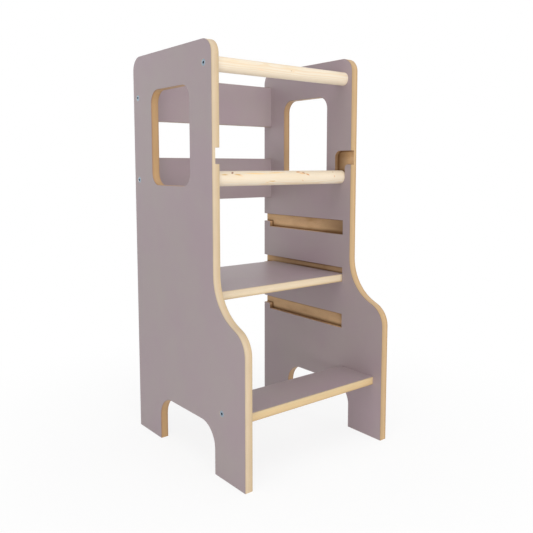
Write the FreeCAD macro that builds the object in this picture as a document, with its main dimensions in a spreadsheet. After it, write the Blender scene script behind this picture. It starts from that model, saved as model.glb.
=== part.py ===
import FreeCAD, Part
import Sketcher
import os

# A kitchen helper stool for a toddler: two mirrored side panels joined by a step, two back
# slats and a top rail, with a standing platform that lifts out of its grooves and a safety
# bar that lifts out of its hooked slots.
#
# Frame: the origin is on the floor, midway between the panels and midway from front to rear.
# X points to the right of someone who faces the stool, Y to the rear and Z up.

doc = FreeCAD.newDocument("helper_stool")
dim = doc.addObject("Spreadsheet::Sheet", "dim")

# Driving sizes in millimetres. Places along the depth are measured from the front of the
# feet, and heights from the floor.
driving_sizes = [
    ("overall_width", 400, "outside of one panel to the outside of the other"),
    ("overall_depth", 424, "front of the feet to the rear edge"),
    ("overall_height", 866, "floor to the top of the panels"),
    ("board_thickness", 18, "faced board that every flat piece is cut from"),
    ("edge_round", 0.5, "rounding of every cut board edge"),

    ("front_foot", 102, "front foot, front to rear"),
    ("rear_foot", 101, "rear foot, front to rear"),
    ("arch_height", 102, "floor to the top of the arch between the feet"),
    ("arch_corner", 48, "radius of the arch's corners"),
    ("waist_setback", 104, "front of the feet to the upper front edge"),
    ("shoulder_low", 296, "height where the front edge turns back"),
    ("shoulder_rise", 46, "from there to where it turns upright again"),
    ("shoulder_round", 50, "radius of the lower, outward turn"),
    ("waist_round", 103, "radius of the upper, inward turn"),
    ("top_corner", 30, "radius of the panel's top corners"),

    ("window_depth", 158, "window, front to rear"),
    ("window_height", 206, "window, bottom to top"),
    ("window_corner", 28, "radius of the window's corners"),
    ("window_front_margin", 80.3, "upper front edge to the window"),
    ("window_top_margin", 80, "window to the top of the panel"),

    ("groove_depth", 10, "how deep the grooves and slots are routed"),
    ("groove_count", 3, "platform heights"),
    ("groove_lowest", 237, "floor to the lowest groove's bearing face"),
    ("groove_pitch", 112, "from one groove to the next"),
    ("groove_front_margin", 23, "upper front edge to the closed end of a groove"),
    ("lip_thickness", 24, "lip at the rear end of a groove"),
    ("lip_rise", 14, "how far the lip stands above the bearing face"),
    ("mouth_gap", 2, "room over the platform as it passes the lip"),
    ("platform_front_gap", 2, "platform to the closed end of its grooves"),
    ("platform_rear_gap", 2, "platform to the lip"),
    ("platform_side_gap", 1, "each platform end to the bottom of its groove"),

    ("bar_diameter", 31, "safety bar"),
    ("bar_end_round", 3, "rounding of both ends of the safety bar"),
    ("bar_side_gap", 0.5, "room round the bar in its slots"),
    ("bar_end_gap", 3.5, "each bar end to the bottom of its slot"),
    ("bar_seat_gap", 0.3, "bar to the lowest point of its seat"),
    ("slot_seat", 580.5, "floor to the lowest point of a slot's seat"),
    ("slot_lip", 19, "upper front edge to a slot's upright leg"),
    ("slot_lip_rise", 45, "lowest point of the seat to the floor of the mouth"),
    ("slot_lip_round", 9, "rounding of the lip that the bar lifts over"),
    ("slot_top_round", 15, "rounding of the slot's upper rear corner"),

    ("rail_diameter", 30, "fixed top rail"),
    ("rail_setback", 27, "upper front edge to the top rail's axis"),
    ("rail_drop", 45.5, "top of the panels to the top rail's axis"),

    ("slat_height", 101, "each back slat"),
    ("slat_drop", 40.5, "top of the panels to the upper slat"),
    ("slat_gap", 83.5, "lower slat to the upper slat"),
    ("slat_inset", 10.5, "rear edge of the panels to the slats"),

    ("step_depth", 103.5, "step, front to rear"),
    ("step_setback", 25.5, "front of the feet to the step"),
    ("step_height", 143.5, "floor to the top of the step"),

    ("screw_length", 50, "length over all"),
    ("screw_head", 13.6, "head diameter"),
    ("screw_shank", 7, "shank diameter, which is also the thread's crest"),
    ("screw_core", 5, "diameter of the thread's root"),
    ("screw_tip", 4, "length of the pointed tip"),
    ("screw_recess", 0.2, "head below the panel's outer face"),
    ("screw_hole_gap", 0.1, "radial room round a screw"),
    ("screw_end_gap", 1, "room beyond a screw's tip"),
    ("thread_pitch", 3, "from crest to crest"),
    ("thread_count", 8, "crests"),
    ("socket_width", 5, "hexagon socket across its flats"),
    ("socket_depth", 2.6, "hexagon socket"),

    ("pin_diameter", 8, "wooden dowel pin"),
    ("pin_length", 30, "wooden dowel pin"),
    ("pin_chamfer", 1, "chamfer on both ends of a pin"),
    ("pin_panel_depth", 10, "length of a pin inside the panel"),
    ("pin_spread", 32, "screw to the pin on each side of it"),
    ("pin_hole_gap", 0.1, "radial room round a pin"),
    ("pin_end_gap", 0.5, "room beyond each end of a pin"),
]

# Sizes and places that follow from the driving sizes.
derived_sizes = [
    ("clear_width", "overall_width - 2 * board_thickness", "between the panels"),
    ("shoulder_high", "shoulder_low + shoulder_rise", "height where it turns upright"),
    ("arch_rear", "overall_depth - rear_foot", "rear foot's inner edge"),
    ("window_front", "waist_setback + window_front_margin", "window's front edge"),
    ("window_top", "overall_height - window_top_margin", "window's upper edge"),
    ("groove_front", "waist_setback + groove_front_margin", "closed end of the grooves"),
    ("groove_height", "lip_rise + board_thickness + mouth_gap", "groove, bottom to top"),
    ("lip_front", "overall_depth - lip_thickness", "front of the groove's lip"),
    ("platform_front", "groove_front + platform_front_gap", "platform's front edge"),
    ("platform_depth", "lip_front - platform_rear_gap - platform_front", "front to rear"),
    ("platform_width", "clear_width + 2 * (groove_depth - platform_side_gap)", "over all"),
    ("platform_bottom", "groove_lowest + groove_pitch", "it rests in the second groove"),
    ("slot_width", "bar_diameter + 2 * bar_side_gap", "upright leg and mouth"),
    ("slot_front", "waist_setback + slot_lip", "front of the upright leg"),
    ("slot_mouth", "slot_seat + slot_lip_rise", "floor of the slot's mouth"),
    ("bar_y", "slot_front + slot_width / 2", "safety bar's axis"),
    ("bar_z", "slot_seat + bar_seat_gap + bar_diameter / 2", "safety bar's axis"),
    ("bar_length", "clear_width + 2 * (groove_depth - bar_end_gap)", "over all"),
    ("rail_y", "waist_setback + rail_setback", "top rail's axis"),
    ("rail_z", "overall_height - rail_drop", "top rail's axis"),
    ("slat_y", "overall_depth - slat_inset - board_thickness / 2", "slats' middle"),
    ("upper_slat_z", "overall_height - slat_drop - slat_height / 2", "upper slat's middle"),
    ("lower_slat_z", "upper_slat_z - slat_gap - slat_height", "lower slat's middle"),
    ("step_y", "step_setback + step_depth / 2", "step's middle"),
    ("step_z", "step_height - board_thickness / 2", "step's middle"),
    ("screw_hole", "screw_shank + 2 * screw_hole_gap", "hole diameter"),
    ("screw_bite", "screw_length + screw_recess - board_thickness", "length past the panel"),
    ("pin_hole", "pin_diameter + 2 * pin_hole_gap", "hole diameter"),
]

row = 0
for alias, amount, note in driving_sizes:
    row += 1
    dim.set("A%d" % row, alias.replace("_", " "))
    dim.set("B%d" % row, str(amount))
    dim.set("C%d" % row, note)
    dim.setAlias("B%d" % row, alias)
for alias, formula, note in derived_sizes:
    row += 1
    dim.set("A%d" % row, alias.replace("_", " "))
    dim.set("B%d" % row, "=" + formula)
    dim.set("C%d" % row, note)
    dim.setAlias("B%d" % row, alias)
doc.recompute()

left, right = -1, 1
side_names = {left: "left", right: "right"}
near = 0.001       # places closer than this are the same
overrun = 5        # how far a cut runs past the edge that it opens through
overlap = 0.2      # how deep a ridge is rooted in the piece that carries it
cuts = []


def amount_of(expression):
    return float(dim.evalExpression(expression))


def origin_feature(body, role):
    return [part for part in body.Origin.OriginFeatures if part.Role == role][0]


def new_body(name):
    body = doc.addObject("PartDesign::Body", name)
    body.Label = name
    return body


def place(body, x, y, z):
    """Puts a body's origin at x, at y from the front of the feet and at z above the floor."""
    body.setExpression("Placement.Base.x", x)
    body.setExpression("Placement.Base.y", "%s - dim.overall_depth / 2" % y)
    body.setExpression("Placement.Base.z", z)


def new_sketch(body, name, plane, offset="0"):
    sketch = body.newObject("Sketcher::SketchObject", name)
    sketch.AttachmentSupport = [(origin_feature(body, plane), "")]
    sketch.MapMode = "FlatFace"
    sketch.setExpression("AttachmentOffset.Base.z", offset)
    return sketch


def fix_point(sketch, line, point, across, up):
    """Ties a point of the sketch to its two coordinates."""
    for kind, axis, expression in (("DistanceX", -2, across), ("DistanceY", -1, up)):
        if expression == "0":
            sketch.addConstraint(Sketcher.Constraint("PointOnObject", line, point, axis))
            continue
        amount = amount_of(expression)
        index = sketch.addConstraint(Sketcher.Constraint(kind, -1, 1, line, point, amount))
        sketch.setExpression("Constraints[%d]" % index, expression)


def polygon_sketch(body, name, plane, corners, offset="0"):
    """A closed outline of straight lines through corners given as pairs of expressions."""
    sketch = new_sketch(body, name, plane, offset)
    points = [FreeCAD.Vector(amount_of(across), amount_of(up), 0) for across, up in corners]
    count = len(points)
    for index in range(count):
        end = points[(index + 1) % count]
        sketch.addGeometry(Part.LineSegment(points[index], end), False)
    for index in range(count):
        following = (index + 1) % count
        sketch.addConstraint(Sketcher.Constraint("Coincident", index, 2, following, 1))
    for index, (across, up) in enumerate(corners):
        fix_point(sketch, index, 1, across, up)
    return sketch


def circle_sketch(body, name, plane, circles, offset="0"):
    """Circles given as expressions for their two coordinates and their diameter."""
    sketch = new_sketch(body, name, plane, offset)
    for across, up, diameter in circles:
        centre = FreeCAD.Vector(amount_of(across), amount_of(up), 0)
        axis = FreeCAD.Vector(0, 0, 1)
        circle = Part.Circle(centre, axis, amount_of(diameter) / 2)
        index = sketch.addGeometry(circle, False)
        fix_point(sketch, index, 3, across, up)
        size = Sketcher.Constraint("Diameter", index, amount_of(diameter))
        constraint = sketch.addConstraint(size)
        sketch.setExpression("Constraints[%d]" % constraint, diameter)
    return sketch


def pad(body, name, sketch, length, towards_plus=True):
    feature = body.newObject("PartDesign::Pad", name)
    feature.Profile = sketch
    feature.setExpression("Length", length)
    feature.Reversed = not towards_plus
    doc.recompute()
    return feature


def pocket(body, name, sketch, depth, towards_plus):
    """Cuts along the sketch's normal, or against it."""
    before = body.Tip.Shape.Volume
    feature = body.newObject("PartDesign::Pocket", name)
    feature.Profile = sketch
    feature.setExpression("Length", depth)
    feature.Reversed = towards_plus
    doc.recompute()
    cuts.append((body.Label, name, before, feature.Shape.Volume))
    return feature


def rounded(body, name, edges, radius):
    feature = body.newObject("PartDesign::Fillet", name)
    feature.Base = (feature.BaseFeature, edges)
    feature.setExpression("Radius", radius)
    doc.recompute()
    return feature


def chamfered(body, name, edges, size):
    feature = body.newObject("PartDesign::Chamfer", name)
    feature.Base = (feature.BaseFeature, edges)
    feature.setExpression("Size", size)
    doc.recompute()
    return feature


def edges_along_x(feature, places):
    """The edges along X that pass through the places, given as pairs of expressions."""
    targets = [(amount_of(across), amount_of(up)) for across, up in places]
    found = []
    for index, edge in enumerate(feature.Shape.Edges):
        ends = [vertex.Point for vertex in edge.Vertexes]
        if len(ends) != 2 or abs(ends[0].x - ends[1].x) < near:
            continue
        for y, z in targets:
            if all(abs(end.y - y) < near and abs(end.z - z) < near for end in ends):
                found.append("Edge%d" % (index + 1))
    return found


def edges_at_x(feature, x):
    """Every edge that lies wholly in the plane at x."""
    found = []
    for index, edge in enumerate(feature.Shape.Edges):
        box = edge.BoundBox
        if abs(box.XMin - x) < near and abs(box.XMax - x) < near:
            found.append("Edge%d" % (index + 1))
    return found


def circles_at(feature, axis, level, radius):
    """Round edges of one radius that lie square to an axis at one level."""
    found = []
    for index, edge in enumerate(feature.Shape.Edges):
        curve = edge.Curve
        if not isinstance(curve, Part.Circle) or abs(curve.Radius - radius) > near:
            continue
        if abs(curve.Center.dot(axis) - level) < near:
            found.append("Edge%d" % (index + 1))
    return found


# Where the screws go, as expressions for y and z, and the way that a pair of pins is spread
# about each screw: up and down on a slat, front and rear on the step, none on the rail.
joints = {
    "top_rail": ("dim.rail_y", "dim.rail_z", None),
    "slat_upper": ("dim.slat_y", "dim.upper_slat_z", "z"),
    "slat_lower": ("dim.slat_y", "dim.lower_slat_z", "z"),
    "step": ("dim.step_y", "dim.step_z", "y"),
}


def pin_places(y, z, spread):
    """The two pins beside one screw, with a word for where each one is."""
    if spread == "y":
        return [("front", y + " - dim.pin_spread", z), ("rear", y + " + dim.pin_spread", z)]
    if spread == "z":
        return [("bottom", y, z + " - dim.pin_spread"), ("top", y, z + " + dim.pin_spread")]
    return []


def make_side_panel(side):
    """One panel, from its outer face inwards. Its origin is the front bottom outer corner."""
    body = new_body("side_panel_" + side_names[side])
    place(body, "%d * dim.overall_width / 2" % side, "0", "0")
    inwards = side == left
    inner_face = "%d * dim.board_thickness" % -side
    inner_level = amount_of(inner_face)

    outline = polygon_sketch(body, "outline", "YZ_Plane", [
        ("0", "0"),
        ("dim.front_foot", "0"),
        ("dim.front_foot", "dim.arch_height"),
        ("dim.arch_rear", "dim.arch_height"),
        ("dim.arch_rear", "0"),
        ("dim.overall_depth", "0"),
        ("dim.overall_depth", "dim.overall_height"),
        ("dim.waist_setback", "dim.overall_height"),
        ("dim.waist_setback", "dim.shoulder_high"),
        ("0", "dim.shoulder_low"),
    ])
    board = pad(body, "board", outline, "dim.board_thickness", inwards)

    top = edges_along_x(board, [("dim.overall_depth", "dim.overall_height"),
                                ("dim.waist_setback", "dim.overall_height")])
    corners = rounded(body, "top_corners", top, "dim.top_corner")
    arch = edges_along_x(corners, [("dim.front_foot", "dim.arch_height"),
                                   ("dim.arch_rear", "dim.arch_height")])
    corners = rounded(body, "arch_corners", arch, "dim.arch_corner")
    shoulder = edges_along_x(corners, [("0", "dim.shoulder_low")])
    corners = rounded(body, "shoulder", shoulder, "dim.shoulder_round")
    waist = edges_along_x(corners, [("dim.waist_setback", "dim.shoulder_high")])
    rounded(body, "waist", waist, "dim.waist_round")

    rear = "dim.window_front + dim.window_depth"
    bottom = "dim.window_top - dim.window_height"
    window_corners = [("dim.window_front", bottom), (rear, bottom),
                      (rear, "dim.window_top"), ("dim.window_front", "dim.window_top")]
    hole = polygon_sketch(body, "window_outline", "YZ_Plane", window_corners)
    window = pocket(body, "window", hole, "dim.board_thickness", inwards)
    corners = rounded(body, "window_corners", edges_along_x(window, window_corners),
                      "dim.window_corner")
    both_faces = edges_at_x(corners, 0) + edges_at_x(corners, inner_level)
    rounded(body, "board_edges", both_faces, "dim.edge_round")

    past_rear = "dim.overall_depth + %d" % overrun
    over_lip = "dim.groove_lowest + dim.lip_rise"
    ceiling = "dim.groove_lowest + dim.groove_height"
    outline = polygon_sketch(body, "groove_outline", "YZ_Plane", [
        ("dim.groove_front", "dim.groove_lowest"),
        ("dim.lip_front", "dim.groove_lowest"),
        ("dim.lip_front", over_lip),
        (past_rear, over_lip),
        (past_rear, ceiling),
        ("dim.groove_front", ceiling),
    ], inner_face)
    groove = pocket(body, "groove", outline, "dim.groove_depth", not inwards)
    before = groove.Shape.Volume
    grooves = body.newObject("PartDesign::LinearPattern", "grooves")
    grooves.Originals = [groove]
    grooves.Direction = (origin_feature(body, "Z_Axis"), [""])
    grooves.setExpression("Length", "dim.groove_pitch * (dim.groove_count - 1)")
    grooves.setExpression("Occurrences", "dim.groove_count")
    body.Tip = grooves
    doc.recompute()
    cuts.append((body.Label, "grooves", before, grooves.Shape.Volume))

    past_front = "dim.waist_setback - %d" % overrun
    slot_rear = "dim.slot_front + dim.slot_width"
    seat_axis = "dim.slot_seat + dim.slot_width / 2"
    slot_top = "dim.slot_mouth + dim.slot_width"
    outline = polygon_sketch(body, "slot_outline", "YZ_Plane", [
        ("dim.slot_front", seat_axis),
        (slot_rear, seat_axis),
        (slot_rear, slot_top),
        (past_front, slot_top),
        (past_front, "dim.slot_mouth"),
        ("dim.slot_front", "dim.slot_mouth"),
    ], inner_face)
    pocket(body, "slot", outline, "dim.groove_depth", not inwards)
    seat = circle_sketch(body, "seat_outline", "YZ_Plane",
                         [("dim.slot_front + dim.slot_width / 2", seat_axis, "dim.slot_width")],
                         inner_face)
    slot = pocket(body, "slot_seat", seat, "dim.groove_depth", not inwards)
    lip = edges_along_x(slot, [("dim.slot_front", "dim.slot_mouth")])
    slot = rounded(body, "slot_lip", lip, "dim.slot_lip_round")
    corner = edges_along_x(slot, [(slot_rear, slot_top)])
    rounded(body, "slot_corner", corner, "dim.slot_top_round")

    screw_circles = [(y, z, "dim.screw_hole") for y, z, spread in joints.values()]
    holes = circle_sketch(body, "screw_circles", "YZ_Plane", screw_circles)
    holes = pocket(body, "screw_holes", holes, "dim.board_thickness", inwards)
    rims = circles_at(holes, FreeCAD.Vector(1, 0, 0), 0, amount_of("dim.screw_hole / 2"))
    sink = "dim.screw_head / 2 + dim.screw_recess + dim.screw_hole_gap - dim.screw_hole / 2"
    chamfered(body, "countersinks", rims, sink)

    pin_circles = []
    for y, z, spread in joints.values():
        for word, pin_y, pin_z in pin_places(y, z, spread):
            pin_circles.append((pin_y, pin_z, "dim.pin_hole"))
    holes = circle_sketch(body, "pin_circles", "YZ_Plane", pin_circles, inner_face)
    pocket(body, "pin_holes", holes, "dim.pin_panel_depth + dim.pin_end_gap", not inwards)
    return body


def add_end_holes(body, spread):
    """Holes for one screw, and for its pins where it has them, in both ends of a piece."""
    end = "-dim.clear_width / 2"
    screw_circle = circle_sketch(body, "screw_circle", "YZ_Plane",
                                 [("0", "0", "dim.screw_hole")], end)
    holes = [pocket(body, "screw_hole", screw_circle, "dim.screw_bite + dim.screw_end_gap", True)]
    if spread == "y":
        places = [("-dim.pin_spread", "0"), ("dim.pin_spread", "0")]
    elif spread == "z":
        places = [("0", "-dim.pin_spread"), ("0", "dim.pin_spread")]
    else:
        places = []
    if places:
        circles = [(across, up, "dim.pin_hole") for across, up in places]
        pin_circles = circle_sketch(body, "pin_circles", "YZ_Plane", circles, end)
        depth = "dim.pin_length - dim.pin_panel_depth + dim.pin_end_gap"
        holes.append(pocket(body, "pin_holes", pin_circles, depth, True))
    before = body.Tip.Shape.Volume
    mirrored = body.newObject("PartDesign::Mirrored", "other_end")
    mirrored.Originals = holes
    mirrored.MirrorPlane = (origin_feature(body, "YZ_Plane"), [""])
    body.Tip = mirrored
    doc.recompute()
    cuts.append((body.Label, "other_end", before, mirrored.Shape.Volume))


def make_board(name, length, depth, height, y, z):
    """A board that runs from side to side, with its origin at its middle."""
    body = new_body(name)
    place(body, "0", y, z)
    front, rear = "-%s / 2" % depth, "%s / 2" % depth
    bottom, top = "-%s / 2" % height, "%s / 2" % height
    corners = [(front, bottom), (rear, bottom), (rear, top), (front, top)]
    section = polygon_sketch(body, "section", "YZ_Plane", corners, "-%s / 2" % length)
    board = pad(body, "board", section, length)
    rounded(body, "board_edges", edges_along_x(board, corners), "dim.edge_round")
    return body


def make_round_bar(name, length, diameter, y, z):
    """A round bar that runs from side to side, with its origin at its middle."""
    body = new_body(name)
    place(body, "0", y, z)
    section = circle_sketch(body, "section", "YZ_Plane", [("0", "0", diameter)],
                            "-%s / 2" % length)
    pad(body, "bar", section, length)
    return body


def make_step():
    body = make_board("step_board", "dim.clear_width", "dim.step_depth", "dim.board_thickness",
                      "dim.step_y", "dim.step_z")
    add_end_holes(body, "y")
    return body


def make_slat(name, z):
    body = make_board(name, "dim.clear_width", "dim.board_thickness", "dim.slat_height",
                      "dim.slat_y", z)
    add_end_holes(body, "z")
    return body


def make_platform():
    middle = "(dim.platform_front + dim.platform_depth / 2)"
    return make_board("standing_platform", "dim.platform_width", "dim.platform_depth",
                      "dim.board_thickness", middle,
                      "dim.platform_bottom + dim.board_thickness / 2")


def make_top_rail():
    body = make_round_bar("top_rail", "dim.clear_width", "dim.rail_diameter",
                          "dim.rail_y", "dim.rail_z")
    add_end_holes(body, None)
    return body


def make_safety_bar():
    """The loose bar: its ends are rounded so that they slip into the slots."""
    body = make_round_bar("safety_bar", "dim.bar_length", "dim.bar_diameter",
                          "dim.bar_y", "dim.bar_z")
    rims = []
    for end in (-1, 1):
        rims += circles_at(body.Tip, FreeCAD.Vector(1, 0, 0),
                           amount_of("%d * dim.bar_length / 2" % end),
                           amount_of("dim.bar_diameter / 2"))
    rounded(body, "rounded_ends", rims, "dim.bar_end_round")
    return body


def make_screw(side, joint):
    """A countersunk screw. Its axis is its own Z, from the head's top face to the tip."""
    y, z, spread = joints[joint]
    body = new_body("screw_%s_%s" % (joint, side_names[side]))
    place(body, "%d * (dim.overall_width / 2 - dim.screw_recess)" % side, y, z)
    body.Placement.Rotation = FreeCAD.Rotation(FreeCAD.Vector(0, 1, 0), -90 * side)
    head_depth = "(dim.screw_head - dim.screw_shank) / 2"
    thread_start = "dim.board_thickness"
    profile = polygon_sketch(body, "profile", "XZ_Plane", [
        ("0", "0"),
        ("dim.screw_head / 2", "0"),
        ("dim.screw_shank / 2", head_depth),
        ("dim.screw_shank / 2", thread_start),
        ("dim.screw_core / 2", thread_start),
        ("dim.screw_core / 2", "dim.screw_length - dim.screw_tip"),
        ("0", "dim.screw_length"),
    ])
    turned = body.newObject("PartDesign::Revolution", "turned")
    turned.Profile = profile
    turned.ReferenceAxis = (profile, ["V_Axis"])
    turned.Angle = 360

    first = "dim.board_thickness + dim.thread_pitch / 2"
    root = "dim.screw_core / 2 - %s" % overlap
    crest = polygon_sketch(body, "crest_profile", "XZ_Plane", [
        (root, first),
        ("dim.screw_shank / 2", first + " + dim.thread_pitch * 0.3"),
        ("dim.screw_shank / 2", first + " + dim.thread_pitch * 0.4"),
        (root, first + " + dim.thread_pitch * 0.7"),
    ])
    ridge = body.newObject("PartDesign::Revolution", "crest")
    ridge.Profile = crest
    ridge.ReferenceAxis = (crest, ["V_Axis"])
    ridge.Angle = 360
    thread = body.newObject("PartDesign::LinearPattern", "thread")
    thread.Originals = [ridge]
    thread.Direction = (origin_feature(body, "Z_Axis"), [""])
    thread.setExpression("Length", "dim.thread_pitch * (dim.thread_count - 1)")
    thread.setExpression("Occurrences", "dim.thread_count")
    body.Tip = thread
    doc.recompute()

    half, tall = "dim.socket_width / 2", "dim.socket_width / sqrt(3)"
    hexagon = polygon_sketch(body, "socket_outline", "XY_Plane", [
        ("0", tall), ("-" + half, tall + " / 2"), ("-" + half, "-" + tall + " / 2"),
        ("0", "-" + tall), (half, "-" + tall + " / 2"), (half, tall + " / 2"),
    ])
    pocket(body, "socket", hexagon, "dim.socket_depth", True)
    return body


def make_pin(side, joint, word, y, z):
    """A dowel pin. Its axis is its own Z, from inside the panel to inside the board."""
    body = new_body("pin_%s_%s_%s" % (joint, word, side_names[side]))
    place(body, "%d * (dim.clear_width / 2 + dim.pin_panel_depth)" % side, y, z)
    body.Placement.Rotation = FreeCAD.Rotation(FreeCAD.Vector(0, 1, 0), -90 * side)
    section = circle_sketch(body, "section", "XY_Plane", [("0", "0", "dim.pin_diameter")])
    rod = pad(body, "rod", section, "dim.pin_length")
    rims = []
    for level in ("0", "dim.pin_length"):
        rims += circles_at(rod, FreeCAD.Vector(0, 0, 1), amount_of(level),
                           amount_of("dim.pin_diameter / 2"))
    chamfered(body, "chamfers", rims, "dim.pin_chamfer")
    return body


bodies = [make_side_panel(left), make_side_panel(right), make_step(), make_platform()]
bodies.append(make_slat("back_slat_upper", "dim.upper_slat_z"))
bodies.append(make_slat("back_slat_lower", "dim.lower_slat_z"))
bodies += [make_top_rail(), make_safety_bar()]
for side in (left, right):
    for joint, (y, z, spread) in joints.items():
        bodies.append(make_screw(side, joint))
        for word, pin_y, pin_z in pin_places(y, z, spread):
            bodies.append(make_pin(side, joint, word, pin_y, pin_z))
doc.recompute()

for thing in doc.Objects:
    if "Invalid" in thing.State or "Error" in thing.State:
        raise RuntimeError("%s failed: %s" % (thing.Label, thing.State))
for body_name, cut_name, before, after in cuts:
    if not after < before - near:
        raise RuntimeError("%s of %s removed nothing" % (cut_name, body_name))
for body in bodies:
    if body.Shape.isNull() or not body.Shape.isValid() or len(body.Shape.Solids) != 1:
        raise RuntimeError("%s is not one valid solid" % body.Label)

os.makedirs("parts", exist_ok=True)
for body in bodies:
    body.Shape.exportStep("parts/%s.step" % body.Label)
    box = body.Shape.optimalBoundingBox(False, False)
    print("%-28s %9.1f mm3  x %7.1f %7.1f  y %7.1f %7.1f  z %6.1f %6.1f" % (
        body.Label, body.Shape.Volume, box.XMin, box.XMax, box.YMin, box.YMax,
        box.ZMin, box.ZMax))
print("%d pieces written" % len(bodies))
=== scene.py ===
import math

import bmesh
import bpy
from mathutils import Matrix, Vector


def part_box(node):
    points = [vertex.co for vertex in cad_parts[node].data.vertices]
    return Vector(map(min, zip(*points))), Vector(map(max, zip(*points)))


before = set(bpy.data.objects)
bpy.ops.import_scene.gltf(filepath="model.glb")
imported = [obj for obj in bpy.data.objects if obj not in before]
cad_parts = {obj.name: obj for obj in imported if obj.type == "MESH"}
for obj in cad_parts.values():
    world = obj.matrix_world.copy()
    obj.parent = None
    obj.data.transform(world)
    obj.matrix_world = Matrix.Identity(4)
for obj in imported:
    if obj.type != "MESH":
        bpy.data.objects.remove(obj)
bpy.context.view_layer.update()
scene = bpy.context.scene
print("stage 1: frame loaded,", len(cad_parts), "nodes")

# camera: the photograph's viewing angle for a frame of 533 x 533. Its lens shift is smaller than the
# photograph's, so that the stool also stays inside the frame when it is seen from other sides
photoCamera = {
    "location": (-0.88362, -1.13696, 0.62101),
    "yaw": 38.4871,        # degrees to the right of +Y
    "pitch": 6.1233,       # degrees downwards
    "lens": 42.879,        # mm
    "sensor": 36,          # mm
    "shiftY": -0.06,
    "clipStart": 0.05,     # metres
}

cameraData = bpy.data.cameras.new("photoCamera")
cameraData.lens = photoCamera["lens"]
cameraData.sensor_width = photoCamera["sensor"]
cameraData.shift_y = photoCamera["shiftY"]
cameraData.clip_start = photoCamera["clipStart"]
camera = bpy.data.objects.new("photoCamera", cameraData)
camera.location = photoCamera["location"]
camera.rotation_euler = (math.radians(90 - photoCamera["pitch"]), 0, math.radians(-photoCamera["yaw"]))
scene.collection.objects.link(camera)
scene.camera = camera
scene.view_settings.view_transform = "Standard"
print("stage 2: camera placed")

plainWhite = (1.0, 1.0, 1.0, 1.0)
middleGrey = (0.5, 0.5, 0.5)                      # what a noise colour or a generated place is centred on
noiseSpan = {"From Min": 0.3, "From Max": 0.7}    # where nearly all of a noise texture's values lie
waveMm = 314                                      # a wave texture of scale 1 repeats every 314 mm


def toLinear(hexColour):
    # sRGB hex to the linear red, green, blue, alpha that a socket takes
    parts = [int(hexColour[i:i + 2], 16) / 255 for i in (0, 2, 4)]
    return tuple(p / 12.92 if p <= 0.04045 else ((p + 0.055) / 1.055) ** 2.4 for p in parts) + (1.0,)


def addNode(tree, kind, settings=None, inputs=None):
    # one node with its settings; an input is a number, a colour, or a node or socket to link from
    node = tree.nodes.new("ShaderNode" + kind)
    for name, value in (settings or {}).items():
        if name == "stops":    # a colour ramp's stops: (place, hex)
            elements = node.color_ramp.elements
            while len(elements) < len(value):
                elements.new(0.5)
            for element, (place, hexColour) in zip(elements, value):
                element.position, element.color = place, toLinear(hexColour)
        else:
            setattr(node, name, value)
    for name, value in (inputs or {}).items():
        if isinstance(value, bpy.types.Node):
            value = value.outputs[0]
        if isinstance(value, bpy.types.NodeSocket):
            tree.links.new(value, node.inputs[name])
        else:
            node.inputs[name].default_value = value
    return node


def newMaterial(name):
    material = bpy.data.materials.new(name)
    material.use_nodes = True
    material.node_tree.nodes.clear()
    return material, material.node_tree


def perMetre(sizesMm):
    # texture scales, or one scale, from sizes in millimetres
    return tuple(1000 / mm for mm in sizesMm) if isinstance(sizesMm, tuple) else 1000 / sizesMm


def titleOf(node):
    # back_slat_upper becomes BackSlatUpper, for the name of its material
    return "".join(word.capitalize() for word in node.split("_"))


def wanderedPlace(tree, place, noise, reach):
    # places pushed about by up to half of reach, in metres, as a noise texture's colour says
    push = addNode(tree, "VectorMath", {"operation": "SUBTRACT"}, {0: noise.outputs["Color"], 1: middleGrey})
    push = addNode(tree, "VectorMath", {"operation": "SCALE"}, {0: push, "Scale": reach})
    return addNode(tree, "VectorMath", {"operation": "ADD"}, {0: place, 1: push}).outputs[0]


def ovalPatch(tree, tone, place, spot, size, colour, core, share, turn=(0.0, 0.0, 0.0)):
    # the tone with an oval of another colour over it, even out to its core and gone at its rim
    local = addNode(tree, "Mapping", {"vector_type": "TEXTURE"}, {
        "Vector": place, "Location": spot, "Rotation": turn, "Scale": size})
    away = addNode(tree, "VectorMath", {"operation": "LENGTH"}, {0: local}).outputs["Value"]
    cover = addNode(tree, "MapRange", {"interpolation_type": "SMOOTHSTEP"}, {
        "Value": away, "From Min": core, "From Max": 1.0, "To Min": share, "To Max": 0.0})
    return addNode(tree, "Mix", {"data_type": "RGBA"}, {0: cover, 6: tone, 7: toLinear(colour)}).outputs[2]


# studio: a low broad softbox beside the camera, a strip just above the floor that lights the undersides,
# weaker softboxes in front, high on the left, overhead, behind and on the right, and an even pale room.
# level is the share of full brightness that a white card gets facing that lamp
studio = {
    "room": 0.38,
    "roomTint": "F7F8FB",
    "softboxes": [
        {"name": "keySoftbox", "azimuth": -30, "elevation": 5, "distance": 3.2, "size": (2.8, 1.3),
         "level": 0.26, "tint": "FFFCF7"},
        {"name": "floorStrip", "azimuth": -22, "elevation": -8, "distance": 2.0, "size": (2.6, 0.26),
         "level": 0.18},
        {"name": "frontSoftbox", "azimuth": 5, "elevation": 26, "distance": 3.2, "size": (2.4, 2.0),
         "level": 0.145},
        {"name": "highSoftbox", "azimuth": -45, "elevation": 55, "distance": 3.2, "size": (2.6, 2.2),
         "level": 0.22},
        {"name": "overheadSoftbox", "azimuth": -30, "elevation": 84, "distance": 3.0, "size": (2.8, 2.8),
         "level": 0.29},
        {"name": "rearSoftbox", "azimuth": 180, "elevation": 12, "distance": 3.4, "size": (2.6, 1.8),
         "level": 0.22},
        {"name": "rightSoftbox", "azimuth": 98, "elevation": 12, "distance": 3.4, "size": (2.4, 1.8),
         "level": 0.18},
    ],
    "aim": (0.0, 0.0, 0.43),
}

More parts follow.
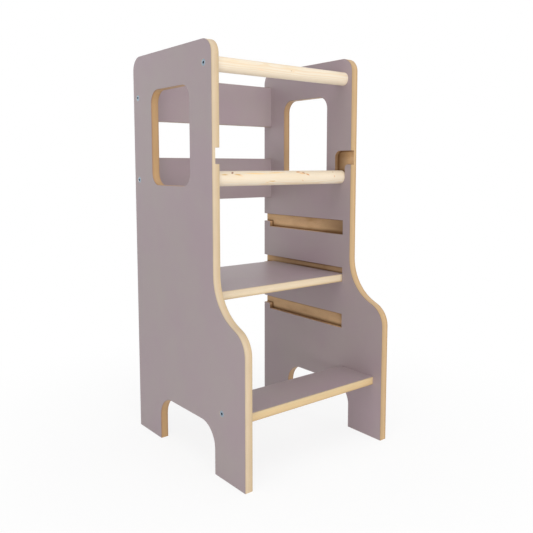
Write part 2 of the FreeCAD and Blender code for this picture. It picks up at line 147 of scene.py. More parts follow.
floorLook = {
    "colour": "FCFCFB",
    "roughness": 0.9,
    "nearWhite": 0.84,       # how much of the floor is already plain white beside the feet
    "fadeStart": 0.25,       # metres from the middle of the stool
    "fadeEnd": 0.95,
    "radius": 30.0,
    "sides": 96,
}


def makeSoftbox(name, azimuth, elevation, distance, size, level, tint="FFFFFF"):
    lamp = bpy.data.lights.new(name, "AREA")
    lamp.shape = "RECTANGLE"
    lamp.size, lamp.size_y = size
    lamp.energy = level * math.pi ** 2 * distance ** 2    # the watts that give a white card its level
    lamp.color = toLinear(tint)[:3]
    softbox = bpy.data.objects.new(name, lamp)
    a, e = math.radians(azimuth), math.radians(elevation)
    outwards = Vector((math.sin(a) * math.cos(e), -math.cos(a) * math.cos(e), math.sin(e)))
    softbox.location = Vector(studio["aim"]) + outwards * distance
    softbox.rotation_euler = (-outwards).to_track_quat("-Z", "Y").to_euler()
    softbox.visible_camera = False
    scene.collection.objects.link(softbox)


def seenByEye(tree):
    # 1 for rays from the camera, from gloss or through glass, and 0 for the light that falls on things
    rays = addNode(tree, "LightPath").outputs
    seen = addNode(tree, "Math", {"operation": "MAXIMUM"}, {
        0: rays["Is Camera Ray"], 1: rays["Is Glossy Ray"]})
    return addNode(tree, "Math", {"operation": "MAXIMUM"}, {0: seen, 1: rays["Is Transmission Ray"]})


def makeRoom():
    # diffuse surfaces are lit by a pale grey room, the camera and gloss see plain white
    world = bpy.data.worlds.new("paleRoom")
    world.use_nodes = True
    tree = world.node_tree
    tree.nodes.clear()
    room = addNode(tree, "Background", inputs={
        "Color": toLinear(studio["roomTint"]), "Strength": studio["room"]})
    white = addNode(tree, "Background", inputs={"Color": plainWhite, "Strength": 1.0})
    mixed = addNode(tree, "MixShader", inputs={0: seenByEye(tree), 1: room, 2: white})
    addNode(tree, "OutputWorld", inputs={"Surface": mixed})
    scene.world = world


def makeFloor():
    # painted white floor; it keeps the stool's soft shadow and runs out to plain white with distance,
    # so that no horizon shows
    material, tree = newMaterial("mattWhiteFloorPaint")
    place = addNode(tree, "TexCoord").outputs["Object"]
    away = addNode(tree, "VectorMath", {"operation": "LENGTH"}, {0: place}).outputs["Value"]
    fade = addNode(tree, "MapRange", {"interpolation_type": "SMOOTHSTEP"}, {
        "Value": away, "From Min": floorLook["fadeStart"], "From Max": floorLook["fadeEnd"],
        "To Min": floorLook["nearWhite"], "To Max": 1.0})
    share = addNode(tree, "Math", {"operation": "MULTIPLY"}, {0: seenByEye(tree), 1: fade})
    paint = addNode(tree, "BsdfPrincipled", inputs={
        "Base Color": toLinear(floorLook["colour"]), "Roughness": floorLook["roughness"],
        "Specular IOR Level": 0.0})
    white = addNode(tree, "Emission", inputs={"Color": plainWhite, "Strength": 1.0})
    mixed = addNode(tree, "MixShader", inputs={0: share, 1: paint, 2: white})
    addNode(tree, "OutputMaterial", inputs={"Surface": mixed})

    build = bmesh.new()
    bmesh.ops.create_circle(build, cap_ends=True, segments=floorLook["sides"], radius=floorLook["radius"])
    mesh = bpy.data.meshes.new("studioFloor")
    build.to_mesh(mesh)
    build.free()
    mesh.materials.append(material)
    floor = bpy.data.objects.new("studioFloor", mesh)
    scene.collection.objects.link(floor)


makeRoom()
makeFloor()
for softbox in studio["softboxes"]:
    makeSoftbox(**softbox)
print("stage 3: floor, room and", len(studio["softboxes"]), "softboxes")


# laminate on both faces of every board
facing = {
    "grey": "A59898",
    "mauve": "A49298",
    "cloudMm": 150,          # slow drift of the print from grey to mauve
    "pearlMm": 1.5,          # the real pearl grain is about 0.3 mm, drawn coarser so that it shows
    "pearlDepth": 0.00012,   # metres
    "roughness": (0.40, 0.50),
}


def melamineFacing():
    # melamine film pressed on with a pearl-grained plate: an even mauve-grey whose highlight is
    # broken up softly, with no mirror image in it
    material, tree = newMaterial("pressedMelamineFacing")
    place = addNode(tree, "TexCoord").outputs["Object"]
    cloud = addNode(tree, "TexNoise", inputs={
        "Vector": place, "Scale": perMetre(facing["cloudMm"]), "Detail": 3.0, "Roughness": 0.6})
    pearl = addNode(tree, "TexNoise", inputs={
        "Vector": place, "Scale": perMetre(facing["pearlMm"]), "Detail": 2.0, "Roughness": 0.6})
    tone = addNode(tree, "ValToRGB", {
        "stops": [(0.32, facing["grey"]), (0.68, facing["mauve"])]}, {0: cloud})
    low, high = facing["roughness"]
    rough = addNode(tree, "MapRange", inputs={"Value": pearl, **noiseSpan, "To Min": low, "To Max": high})
    bump = addNode(tree, "Bump", inputs={
        "Height": pearl, "Strength": 0.25, "Distance": facing["pearlDepth"]})
    surface = addNode(tree, "BsdfPrincipled", inputs={
        "Base Color": tone, "Roughness": rough, "IOR": 1.5, "Normal": bump})
    addNode(tree, "OutputMaterial", inputs={"Surface": surface})
    return material


# board edges: each cut shows the same pressed layers, in the shade that its place has in the photograph.
# A shade is a list of stops across the board: from its inner, lower or front face (0) to the other (1)
edges = {
    "layerMm": 1.4,          # pressed layers, drawn about twice as thick as the real ones
    "runMm": 45,             # how far one layer's streak runs along the edge
    "fibreMm": 0.9,
    "fibreDepth": 0.0001,    # metres
    "streak": (0.93, 1.05),  # how much the layers darken or lighten the shade
    "speck": (0.95, 1.04),   # the same for the fibres
    "roughness": 0.46,
    "shades": {
        "front": [
            (0.00, "A99479"), (0.06, "C2AB89"), (0.20, "C8B08D"), (0.38, "CCB494"), (0.55, "CDB899"),
            (0.72, "CFBC9F"), (0.86, "CDB899"), (0.95, "B9A18A"), (1.00, "918887")],
        "toasted": [
            (0.00, "9E8462"), (0.07, "B7976E"), (0.25, "BE9F75"), (0.45, "C4A479"), (0.62, "C8A87D"),
            (0.80, "C5A276"), (0.91, "B69366"), (1.00, "A6865D")],
        # painted light and shade: both panels' cut edges are one finish, the left's drawn lighter as lit,
        # the right's darker
        "leftCutOut": [
            (0.00, "9B7C63"), (0.08, "B18C64"), (0.35, "B79367"), (0.70, "BA966A"), (0.92, "AE875F"),
            (1.00, "92796E")],
        "rightCutOut": [
            (0.00, "93755A"), (0.08, "A88560"), (0.35, "AD8A63"), (0.70, "B08D66"), (0.92, "A5805A"),
            (1.00, "8A7264")],
        "platform": [
            (0.00, "B09672"), (0.06, "C5AA82"), (0.17, "D9C3A0"), (0.30, "E0CDAD"), (0.50, "E2D0B4"),
            (0.70, "DFCCAF"), (0.88, "DBC8A8"), (0.96, "C7B092"), (1.00, "A4968D")],
        "step": [
            (0.00, "A7885D"), (0.08, "C7A879"), (0.20, "D1B588"), (0.45, "D6BA8C"), (0.65, "D7BD8F"),
            (0.85, "D5BD94"), (0.95, "BEA580"), (1.00, "9A8C7F")],
        # painted shade: the slats' edges are drawn darker and browner than the other boards' edges, as seen
        # in shade
        "slat": [
            (0.00, "958170"), (0.10, "A58D74"), (0.50, "AE977A"), (0.90, "A58D74"), (1.00, "958170")],
    },
}


def lacqueredFibreboard(name, shade, axis, near, far):
    # medium-density fibreboard, machined, sanded and clear-lacquered: a pale core and denser, darker
    # skins, faint streaks along the layers, and a thin line where the facing's paper ends
    material, tree = newMaterial("lacqueredFibreboard" + name)
    place = addNode(tree, "TexCoord").outputs["Object"]
    across = addNode(tree, "SeparateXYZ", inputs={0: place}).outputs[axis]
    depth = addNode(tree, "Math", {"operation": "ABSOLUTE"}, {0: across})
    depth = addNode(tree, "MapRange", inputs={"Value": depth, "From Min": near, "From Max": far})
    base = addNode(tree, "ValToRGB", {"stops": edges["shades"][shade]}, {0: depth})
    stretch = [perMetre(edges["runMm"])] * 3
    stretch[axis] = perMetre(edges["layerMm"])
    layered = addNode(tree, "Mapping", inputs={"Vector": place, "Scale": stretch})
    layers = addNode(tree, "TexNoise", inputs={
        "Vector": layered, "Scale": 1.0, "Detail": 3.0, "Roughness": 0.6})
    fibres = addNode(tree, "TexNoise", inputs={
        "Vector": place, "Scale": perMetre(edges["fibreMm"]), "Detail": 3.0, "Roughness": 0.7})
    low, high = edges["streak"]
    streak = addNode(tree, "MapRange", inputs={"Value": layers, **noiseSpan, "To Min": low, "To Max": high})
    low, high = edges["speck"]
    speck = addNode(tree, "MapRange", inputs={"Value": fibres, **noiseSpan, "To Min": low, "To Max": high})
    both = addNode(tree, "Math", {"operation": "MULTIPLY"}, {0: streak, 1: speck})
    tone = addNode(tree, "VectorMath", {"operation": "SCALE"}, {0: base, "Scale": both})
    bump = addNode(tree, "Bump", inputs={
        "Height": fibres, "Strength": 0.2, "Distance": edges["fibreDepth"]})
    surface = addNode(tree, "BsdfPrincipled", inputs={
        "Base Color": tone, "Roughness": edges["roughness"], "IOR": 1.48, "Normal": bump})
    addNode(tree, "OutputMaterial", inputs={"Surface": surface})
    return material


# grooves and slots, in metres
routed = {
    "pale": "E2BF92",
    "brown": "D6B288",
    "burnt": "BF9769",
    "speck": (0.90, 1.07),
    "roughness": 0.82,
    "mottleMm": 30,
    "drawnOut": (1.0, 0.35, 1.0),    # the mottling is longer along a groove than across it
    "fibreMm": 1.6,
    "passMm": 3.2,           # marks that the cutter's feed leaves on the floor of a groove
    "passShare": 0.5,        # their height beside that of the fibres
    "markDepth": 0.0002,
    "floor": 0.192,          # distance of the routed floors from the middle of the stool
    "grooveFront": -0.085,
    "grooveBottom": 0.237,
    "groovePitch": 0.112,
    "grooveHeight": 0.034,
    "belowGroove": 0.004,    # each groove's share of the height starts this far below its bottom
    "lip": (0.188, 0.014),   # front of the lip, and its height above the groove's bottom
    "slot": (-0.057, 0.6575, -0.089, 0.6255),    # rear wall, top wall, front of the leg, bottom of the mouth
    "slotRound": 0.014,      # how round the slot's upper rear corner is
    "slotsFrom": 0.53,       # what is routed above this height is a slot
    # painted shade in the inner corners, partly scorch from the cutter: its colour, share and reach
    "cornerBurnt": "66421A",
    "cornerShare": 0.80,
    "cornerMm": 5.5,         # the corners' painted shade and scorch: how far out from them it reaches
    "lowerWall": 0.50,       # how much the corners' shade and scorch is narrowed (over 1) or widened (under 1) along each wall
    "upperWall": 2.2,
    "slotRear": 0.55,
    "slotTop": 1.3,
    "slotHook": 3.0,
    "upTheWall": 1.7,
    # painted shade: the dark colour of the painted shadows listed below, and the share of each that is
    # evenly dark
    "scorched": "5C3812",
    "scorchCore": 0.1,
    "across": 10.0,          # half length across the panel, so that a painted shadow reaches both panels
    # painted shadow and shade: the safety bar's shadow in the top groove and in its slot, dark lines under
    # the grooves' upper walls and above the platform, and shade at the lip and in the slot's recesses, as
    # (y, z, half length, half height in metres, share of the darker colour)
    "scorches": [
        (0.050, 0.372, 0.300, 0.034, 0.26), (0.030, 0.3675, 0.220, 0.0052, 0.80),
        (0.030, 0.3815, 0.220, 0.0052, 0.80), (0.050, 0.4945, 0.300, 0.0034, 0.55),
        (0.050, 0.2685, 0.300, 0.0040, 0.55), (0.050, 0.254, 0.280, 0.034, 0.20),
        (-0.090, 0.476, 0.130, 0.040, 0.60), (-0.050, 0.463, 0.060, 0.008, 0.35),
        (0.190, 0.240, 0.012, 0.014, 0.75), (0.190, 0.352, 0.012, 0.014, 0.75),
        (0.190, 0.464, 0.012, 0.014, 0.6), (-0.057, 0.632, 0.046, 0.056, 0.72),
        (-0.085, 0.661, 0.050, 0.009, 0.55), (-0.072, 0.607, 0.022, 0.013, 0.75),
    ],
}


def routedCorners(tree, place):
    # metres from the nearest inner corner that the cutter leaves between a floor and a wall. Each row
    # is one sum: the name of its result, the operation, and the numbers or earlier results it takes
    def fromBlock(result):
        # how far a point lies from a block that fills the quarter where across and up are negative
        return [
            ("across", "MAXIMUM", "across", 0.0), ("up", "MAXIMUM", "up", 0.0),
            ("across", "MULTIPLY", "across", "across"), ("up", "MULTIPLY", "up", "up"),
            (result, "ADD", "across", "up"), (result, "SQRT", result),
        ]

    lipFront, lipHeight = routed["lip"]
    rear, top, front, mouth = routed["slot"]
    rows = [
        # the height above the bottom of a groove, the same for all three
        ("climb", "SUBTRACT", "z", routed["grooveBottom"] - routed["belowGroove"]),
        ("climb", "FLOORED_MODULO", "climb", routed["groovePitch"]),
        ("climb", "SUBTRACT", "climb", routed["belowGroove"]),
        # a groove's ceiling, bottom, closed end and lip
        ("ceiling", "SUBTRACT", routed["grooveHeight"], "climb"),
        ("ceiling", "MULTIPLY", "ceiling", routed["upperWall"]),
        ("bottom", "MULTIPLY", "climb", routed["lowerWall"]),
        ("end", "SUBTRACT", "y", routed["grooveFront"]),
        ("across", "SUBTRACT", lipFront, "y"),
        ("up", "SUBTRACT", "climb", lipHeight),
        *fromBlock("lip"),
        ("groove", "MINIMUM", "ceiling", "bottom"),
        ("groove", "MINIMUM", "groove", "end"),
        ("groove", "MINIMUM", "groove", "lip"),
        # a slot's rear wall and ceiling, and the hook that the bar lifts over
        ("behind", "SUBTRACT", rear, "y"),
        ("behind", "MULTIPLY", "behind", routed["slotRear"]),
        ("ceiling", "SUBTRACT", top, "z"),
        ("ceiling", "MULTIPLY", "ceiling", routed["slotTop"]),
        ("across", "SUBTRACT", "y", front),
        ("up", "SUBTRACT", "z", mouth),
        *fromBlock("hook"),
        ("hook", "MULTIPLY", "hook", routed["slotHook"]),
        ("slot", "SMOOTH_MIN", "behind", "ceiling", routed["slotRound"]),
        ("slot", "MINIMUM", "slot", "hook"),
        ("inSlot", "GREATER_THAN", "z", routed["slotsFrom"]),
        # the height of a wall above its floor
        ("rise", "ABSOLUTE", "x"),
        ("rise", "SUBTRACT", routed["floor"], "rise"),
        ("rise", "MULTIPLY", "rise", routed["upTheWall"]),
    ]
    found = dict(zip("xyz", addNode(tree, "SeparateXYZ", inputs={0: place}).outputs))
    for result, operation, *taken in rows:
        inputs = {number: found.get(value, value) for number, value in enumerate(taken)}
        found[result] = addNode(tree, "Math", {"operation": operation}, inputs)
    wall = addNode(tree, "Mix", {"data_type": "FLOAT"}, {
        0: found["inSlot"], 2: found["groove"], 3: found["slot"]})
    wall = addNode(tree, "Math", {"operation": "MAXIMUM"}, {0: wall, 1: 0.0})
    corner = addNode(tree, "CombineXYZ", inputs={0: wall, 1: found["rise"]})
    return addNode(tree, "VectorMath", {"operation": "LENGTH"}, {0: corner}).outputs["Value"]


def routedFibreboard():
    # the same board where a cutter has opened it: matt brown with loose fibres and faint feed marks,
    # darkened along its inner corners by painted shade with some scorch, and by painted shadows in a few
    # patches
    material, tree = newMaterial("routedFibreboard")
    place = addNode(tree, "TexCoord").outputs["Object"]
    drawn = addNode(tree, "Mapping", inputs={"Vector": place, "Scale": routed["drawnOut"]})
    mottle = addNode(tree, "TexNoise", inputs={
        "Vector": drawn, "Scale": perMetre(routed["mottleMm"]), "Detail": 4.0, "Roughness": 0.6})
    fibres = addNode(tree, "TexNoise", inputs={
        "Vector": place, "Scale": perMetre(routed["fibreMm"]), "Detail": 3.0, "Roughness": 0.7})
    feed = addNode(tree, "TexWave", {"wave_type": "BANDS", "bands_direction": "Y"}, {
        "Vector": place, "Scale": waveMm / routed["passMm"], "Distortion": 1.5, "Detail": 1.0,
        "Detail Scale": 0.4})
    tone = addNode(tree, "ValToRGB", {"stops": [
        (0.25, routed["burnt"]), (0.45, routed["brown"]), (0.65, routed["pale"])]}, {0: mottle})
    # painted shadows of the safety bar and the platform, and painted shade in the grooves' and slot's
    # recesses
    for y, z, length, height, share in routed["scorches"]:
        tone = ovalPatch(tree, tone, place, (0.0, y, z), (routed["across"], length, height),
                         routed["scorched"], routed["scorchCore"], share)
    # painted shade along the inner corners of the grooves and the slot, partly scorch from the cutter
    cover = addNode(tree, "MapRange", {"interpolation_type": "SMOOTHERSTEP"}, {
        "Value": routedCorners(tree, place), "From Min": 0.0, "From Max": routed["cornerMm"] / 1000,
        "To Min": routed["cornerShare"], "To Max": 0.0})
    tone = addNode(tree, "Mix", {"data_type": "RGBA"}, {
        0: cover, 6: tone, 7: toLinear(routed["cornerBurnt"])}).outputs[2]
    low, high = routed["speck"]
    speck = addNode(tree, "MapRange", inputs={"Value": fibres, **noiseSpan, "To Min": low, "To Max": high})
    tone = addNode(tree, "VectorMath", {"operation": "SCALE"}, {0: tone, "Scale": speck})
    height = addNode(tree, "Math", {"operation": "MULTIPLY_ADD"}, {
        0: feed.outputs["Fac"], 1: routed["passShare"], 2: fibres})
    bump = addNode(tree, "Bump", inputs={
        "Height": height, "Strength": 0.45, "Distance": routed["markDepth"]})
    surface = addNode(tree, "BsdfPrincipled", inputs={
        "Base Color": tone, "Roughness": routed["roughness"], "IOR": 1.45, "Normal": bump})
    addNode(tree, "OutputMaterial", inputs={"Surface": surface})
    return material


# the wood of both round bars
pine = {
    "ringMm": 2.6,
    "early": "EADDC8",
    "late": "E6D1B2",
    "heart": "E6D3B7",
    "slowScale": (6.0, 30.0, 30.0),    # the grain's sway and the drift are longer along a bar
    "sway": 0.010,           # metres
    "drift": "E7D0AA",
    "driftScale": 1.6,
    "driftShare": 0.55,
    "raggedMm": 3.0,
    "ragged": 0.0022,        # metres
    "knotDepth": 0.006,      # metres
    "knotCore": 0.25,
    "knotShare": 0.92,
    "fibreMm": (18, 0.9, 0.9),
    "fibreDepth": 0.00012,   # metres
    "roughness": (0.38, 0.50),
}

# round bars: axis and pith are (y, z) in metres, the pith measured from the axis. A knot's at is
# (metres along X, degrees round the bar: 0 is the front, 90 the top), its size is (half length, half
# width) in mm, and turn tilts it against the grain
pineBars = {
    "top_rail": {
        "axis": (-0.081, 0.8205),
        "radius": 0.015,
        "pith": (0.030, -0.022),
        "knots": [
            {"at": (0.012, 5), "size": (2.4, 1.5), "turn": 0, "colour": "B98A50"},
            {"at": (0.018, 4), "size": (5.0, 1.2), "turn": 0, "colour": "EBCB9A"},
            {"at": (-0.135, 30), "size": (16.0, 1.6), "turn": 2, "colour": "EFD3AE"},
            {"at": (-0.070, -12), "size": (14.0, 1.4), "turn": 6, "colour": "F1D4B4"},
        ],
    },
    "safety_bar": {
        "axis": (-0.073, 0.5963),
        "radius": 0.0155,
        "pith": (-0.026, -0.030),
        "knots": [
            {"at": (-0.1337, 50), "size": (5.6, 3.0), "turn": -38, "colour": "86421C"},
            {"at": (-0.155, 33), "size": (11.0, 2.2), "turn": 0, "colour": "D4B070"},
            {"at": (-0.122, 31), "size": (12.0, 2.4), "turn": 4, "colour": "D2A862"},
            {"at": (-0.115, 20), "size": (7.0, 1.2), "turn": 3, "colour": "EBC48E"},
            {"at": (-0.075, 40), "size": (42.0, 3.0), "turn": 2, "colour": "EFCB92"},
            {"at": (-0.020, 46), "size": (34.0, 2.4), "turn": -2, "colour": "EDC88C"},
            {"at": (-0.033, -25), "size": (13.0, 2.0), "turn": 0, "colour": "D6B070"},
            {"at": (-0.045, -36), "size": (8.0, 1.4), "turn": 0, "colour": "E2C08C"},
            {"at": (0.0581, 43), "size": (5.6, 3.2), "turn": 30, "colour": "9A5420"},
            {"at": (0.044, 55), "size": (9.5, 3.2), "turn": -8, "colour": "C8843C"},
            {"at": (0.068, 28), "size": (8.5, 2.4), "turn": 22, "colour": "D09048"},
            {"at": (0.052, 40), "size": (12.0, 3.4), "turn": 6, "colour": "E4B684"},
            {"at": (0.053, -22), "size": (4.0, 1.2), "turn": 20, "colour": "D9B27C"},
            {"at": (0.1490, 50), "size": (3.2, 1.8), "turn": 0, "colour": "C09254"},
            {"at": (0.1498, 8), "size": (1.8, 3.4), "turn": 0, "colour": "DCA060"},
        ],
    },
}


def lacqueredPine(name, axis, radius, pith, knots):
    # pine turned to a round bar, sanded and clear-lacquered: pale early wood with fine tan late-wood
    # lines along the bar, brown knots with a resin-coloured halo, and a soft satin highlight
    material, tree = newMaterial("lacqueredPine" + name)
    place = addNode(tree, "TexCoord").outputs["Object"]
    slow = addNode(tree, "Mapping", inputs={"Vector": place, "Scale": pine["slowScale"]})
    sway = addNode(tree, "TexNoise", inputs={"Vector": slow, "Scale": 1.0, "Detail": 2.0})
    grain = wanderedPlace(tree, place, sway, pine["sway"])
    heartLine = (0.0, axis[0] + pith[0], axis[1] + pith[1])
    grain = addNode(tree, "VectorMath", {"operation": "SUBTRACT"}, {0: grain, 1: heartLine})
    rings = addNode(tree, "TexWave", {
        "wave_type": "RINGS", "rings_direction": "X", "wave_profile": "SAW"}, {
        "Vector": grain, "Scale": waveMm / pine["ringMm"], "Distortion": 0.6, "Detail": 1.0,
        "Detail Scale": 0.3})
    tone = addNode(tree, "ValToRGB", {"stops": [
        (0.0, pine["early"]), (0.45, pine["early"]), (0.86, pine["late"]), (0.97, pine["heart"])]},
        {0: rings.outputs["Fac"]})

    # a blotchy drift of colour along the bar, as pine has between its rings
    drift = addNode(tree, "TexNoise", inputs={"Vector": slow, "Scale": pine["driftScale"], "Detail": 3.0})
    drift = addNode(tree, "MapRange", inputs={
        "Value": drift, "From Min": 0.5, "From Max": 0.75, "To Min": 0.0, "To Max": pine["driftShare"]})
    tone = addNode(tree, "Mix", {"data_type": "RGBA"}, {
        0: drift, 6: tone, 7: toLinear(pine["drift"])}).outputs[2]

    # knots and resin streaks at their places, with ragged outlines
    ragged = addNode(tree, "TexNoise", inputs={
        "Vector": place, "Scale": perMetre(pine["raggedMm"]), "Detail": 2.0})
    nearKnot = wanderedPlace(tree, place, ragged, pine["ragged"])
    for knot in knots:
        x, degrees = knot["at"]
        a = math.radians(degrees)
        spot = (x, axis[0] - radius * math.cos(a), axis[1] + radius * math.sin(a))
        lie = Matrix.Rotation(-a, 3, "X") @ Matrix.Rotation(math.radians(knot["turn"]), 3, "Y")
        length, width = (mm / 1000 for mm in knot["size"])
        tone = ovalPatch(tree, tone, nearKnot, spot, (length, pine["knotDepth"], width), knot["colour"],
                         pine["knotCore"], pine["knotShare"], tuple(lie.to_euler("XYZ")))

    pores = addNode(tree, "Mapping", inputs={"Vector": place, "Scale": perMetre(pine["fibreMm"])})
    fibre = addNode(tree, "TexNoise", inputs={"Vector": pores, "Scale": 1.0, "Detail": 2.0})
    bump = addNode(tree, "Bump", inputs={
        "Height": fibre, "Strength": 0.25, "Distance": pine["fibreDepth"]})
    low, high = pine["roughness"]
    rough = addNode(tree, "MapRange", inputs={"Value": fibre, **noiseSpan, "To Min": low, "To Max": high})
    surface = addNode(tree, "BsdfPrincipled", inputs={
        "Base Color": tone, "Roughness": rough, "IOR": 1.5, "Normal": bump})
    addNode(tree, "OutputMaterial", inputs={"Surface": surface})
    return material


screwLook = {
    "zinc": "A6B5C2",
    "zincDull": "6B7D8B",
    "cloudMm": 2.5,
    "roughness": (0.36, 0.24),
    "headMm": 13.6,
    "turningMm": 0.5,        # lathe marks on the heads, drawn three times as wide as the real ones
    "turningDepth": 0.00004,   # metres
    # painted shade: the socket's colours are drawn dark for the shade deep inside it
    "socket": "3C5563",
    "socketDark": "2B3F4A",
    "socketCloudMm": 1.2,
    "socketRoughness": 0.42,
    "socketDepth": 0.0027,   # metres, a little past the socket's bottom and its corners
    "socketReach": 0.0030,
    "topFace": 0.00002,      # metres: what lies this close to the outermost face belongs to it
}


def zincPlatedSteel():
    # steel screw, bright zinc-plated and blue-passivated: a cool, slightly cloudy metal with fine
    # rings round the head
    material, tree = newMaterial("brightZincPlatedSteel")
    coords = addNode(tree, "TexCoord").outputs
    cloud = addNode(tree, "TexNoise", inputs={
        "Vector": coords["Object"], "Scale": perMetre(screwLook["cloudMm"]), "Detail": 3.0})
    tone = addNode(tree, "ValToRGB", {
        "stops": [(0.30, screwLook["zincDull"]), (0.62, screwLook["zinc"])]}, {0: cloud})
    centred = addNode(tree, "VectorMath", {"operation": "SUBTRACT"}, {
        0: coords["Generated"], 1: middleGrey})
    # generated places run from 0 to 1 over the head, so the rings' scale is for a head 1 m across
    ringScale = waveMm / 1000 * screwLook["headMm"] / screwLook["turningMm"]
    turned = addNode(tree, "TexWave", {"wave_type": "RINGS", "rings_direction": "X"}, {
        "Vector": centred, "Scale": ringScale, "Distortion": 0.3})
    bump = addNode(tree, "Bump", inputs={
        "Height": turned.outputs["Fac"], "Strength": 0.15, "Distance": screwLook["turningDepth"]})
    low, high = screwLook["roughness"]
    rough = addNode(tree, "MapRange", inputs={"Value": cloud, **noiseSpan, "To Min": low, "To Max": high})
    surface = addNode(tree, "BsdfPrincipled", inputs={
        "Base Color": tone, "Metallic": 1.0, "Roughness": rough, "Normal": bump})
    addNode(tree, "OutputMaterial", inputs={"Surface": surface})
    return material


def passivatedSocket():
    # painted shade in the hexagon socket: the plating drawn as a dull dark blue-grey with a faint
    # broken sheen
    material, tree = newMaterial("passivatedSocket")
    place = addNode(tree, "TexCoord").outputs["Object"]
    cloud = addNode(tree, "TexNoise", inputs={
        "Vector": place, "Scale": perMetre(screwLook["socketCloudMm"]), "Detail": 2.0})
    tone = addNode(tree, "ValToRGB", {
        "stops": [(0.30, screwLook["socketDark"]), (0.70, screwLook["socket"])]}, {0: cloud})
    surface = addNode(tree, "BsdfPrincipled", inputs={
        "Base Color": tone, "Metallic": 0.6, "Roughness": screwLook["socketRoughness"]})
    addNode(tree, "OutputMaterial", inputs={"Surface": surface})
    return material


pinLook = {
    "beech": "D8B48A",
    "fleck": "B98B60",
    "fleckMm": (3.0, 0.7, 0.7),
    "fleckDepth": 0.0001,    # metres
    "roughness": 0.7,
}


def beechDowel():
    # beech dowel pin, left raw: warm tan with short darker ray flecks
    material, tree = newMaterial("rawBeechDowel")
    place = addNode(tree, "TexCoord").outputs["Object"]
    drawn = addNode(tree, "Mapping", inputs={"Vector": place, "Scale": perMetre(pinLook["fleckMm"])})
    fleck = addNode(tree, "TexNoise", inputs={"Vector": drawn, "Scale": 1.0, "Detail": 2.0})
    tone = addNode(tree, "ValToRGB", {
        "stops": [(0.38, pinLook["fleck"]), (0.52, pinLook["beech"])]}, {0: fleck})
    bump = addNode(tree, "Bump", inputs={
        "Height": fleck, "Strength": 0.4, "Distance": pinLook["fleckDepth"]})
    surface = addNode(tree, "BsdfPrincipled", inputs={
        "Base Color": tone, "Roughness": pinLook["roughness"], "IOR": 1.5, "Normal": bump})
    addNode(tree, "OutputMaterial", inputs={"Surface": surface})
    return material


# where the side panels are cut, as (y low, y high, z low, z high) in metres
panelCuts = {
    "pockets": [                                     # routed from the inner face, floors and walls raw
        (-0.0855, 0.2130, 0.2365, 0.2715),
        (-0.0855, 0.2130, 0.3485, 0.3835),
        (-0.0855, 0.2130, 0.4605, 0.4955),
        (-0.1090, -0.0565, 0.5800, 0.6580),
    ],
    "openings": [                                    # cut right through, their edges darker
        (-0.0300, 0.1330, 0.5780, 0.7880),
        (-0.1130, 0.1140, -0.001, 0.1040),
    ],
    "screws": [(-0.081, 0.8205), (0.1925, 0.775), (0.1925, 0.5905), (-0.13475, 0.1345)],
    "screwReach": 0.0078,
}

panelShades = {"left": "front", "right": "toasted"}

boards = {                   # the axis across each board, and which shade its edges have
    "standing_platform": {"axis": 2, "shade": "platform"},
    "step_board": {"axis": 2, "shade": "step"},
    "back_slat_upper": {"axis": 1, "shade": "slat"},
    "back_slat_lower": {"axis": 1, "shade": "slat"},
}

faces = {                    # how a face is told from another, in metres
    "square": 0.999,         # least part of the normal that runs along the axis across the board
    "slack": 0.00005,        # farthest that a face of the board lies from its box
    "floorSlack": 0.0005,    # farthest that a routed floor lies past its place
    "endSlack": 0.0001,      # least depth of a hole's bottom below the board's end
}


def inside(point, box):
    return box[0] < point.y < box[1] and box[2] < point.z < box[3]


def onFace(point, normal, axis, low, high):
    away = min(abs(point[axis] - low), abs(point[axis] - high))
    return abs(normal[axis]) > faces["square"] and away < faces["slack"]


def dress(node, materials, choose=None):
    # gives a CAD node its materials; choose says which of them a face has
    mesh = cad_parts[node].data
    mesh.materials.clear()
    for material in materials:
        mesh.materials.append(material)
    picks = [choose(p.center, p.normal) if choose else 0 for p in mesh.polygons]
    mesh.polygons.foreach_set("material_index", picks)
    mesh.update()


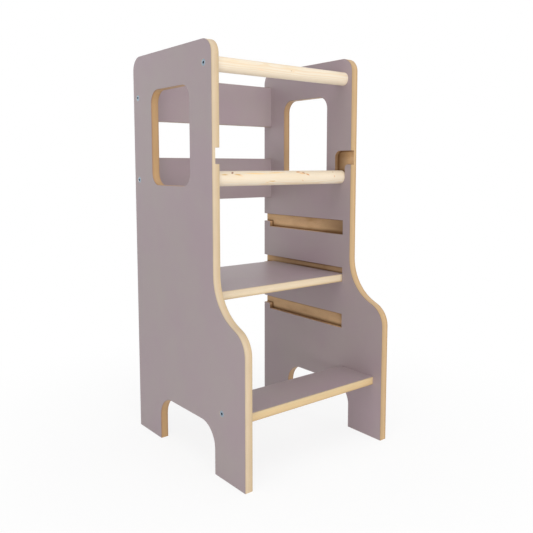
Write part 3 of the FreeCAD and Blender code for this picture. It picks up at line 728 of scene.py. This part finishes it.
facingMaterial = melamineFacing()
routedMaterial = routedFibreboard()
for side, shade in panelShades.items():
    node = "side_panel_" + side
    low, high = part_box(node)
    near, far = sorted((abs(low.x), abs(high.x)))

    def panelFace(point, normal):
        if onFace(point, normal, 0, low.x, high.x):
            return 0
        shallow = abs(point.x) < routed["floor"] + faces["floorSlack"]
        if shallow and any(inside(point, pocket) for pocket in panelCuts["pockets"]):
            return 1
        reach = panelCuts["screwReach"]
        if any(math.hypot(point.y - y, point.z - z) < reach for y, z in panelCuts["screws"]):
            return 1
        if any(inside(point, opening) for opening in panelCuts["openings"]):
            return 2
        return 3

    openingMaterial = lacqueredFibreboard("Opening" + titleOf(side), side + "CutOut", 0, near, far)
    edgeMaterial = lacqueredFibreboard("Panel" + titleOf(side), shade, 0, near, far)
    dress(node, [facingMaterial, routedMaterial, openingMaterial, edgeMaterial], panelFace)

for node, board in boards.items():
    low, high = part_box(node)
    axis = board["axis"]

    def boardFace(point, normal):
        if onFace(point, normal, axis, low[axis], high[axis]):
            return 0
        holeBottom = abs(point.x) < high.x - faces["endSlack"] and abs(normal.x) > 0.5
        return 2 if holeBottom else 1

    edgeMaterial = lacqueredFibreboard(titleOf(node), board["shade"], axis, low[axis], high[axis])
    dress(node, [facingMaterial, edgeMaterial, routedMaterial], boardFace)
print("stage 4: boards dressed")

for node, bar in pineBars.items():
    dress(node, [lacqueredPine(titleOf(node), **bar)])
zinc, socket, beech = zincPlatedSteel(), passivatedSocket(), beechDowel()
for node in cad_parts:
    if node.startswith("screw_"):
        low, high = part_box(node)
        headFace = max(abs(low.x), abs(high.x))
        y, z = (low.y + high.y) / 2, (low.z + high.z) / 2

        def screwFace(point, normal):
            # the socket's walls and bottom lie below the head's face and close to the screw's axis
            depth = headFace - abs(point.x)
            sunk = screwLook["topFace"] < depth < screwLook["socketDepth"]
            return 1 if sunk and math.hypot(point.y - y, point.z - z) < screwLook["socketReach"] else 0

        dress(node, [zinc, socket], screwFace)
    elif node.startswith("pin_"):
        dress(node, [beech])
print("stage 5: bars, screws and pins dressed")
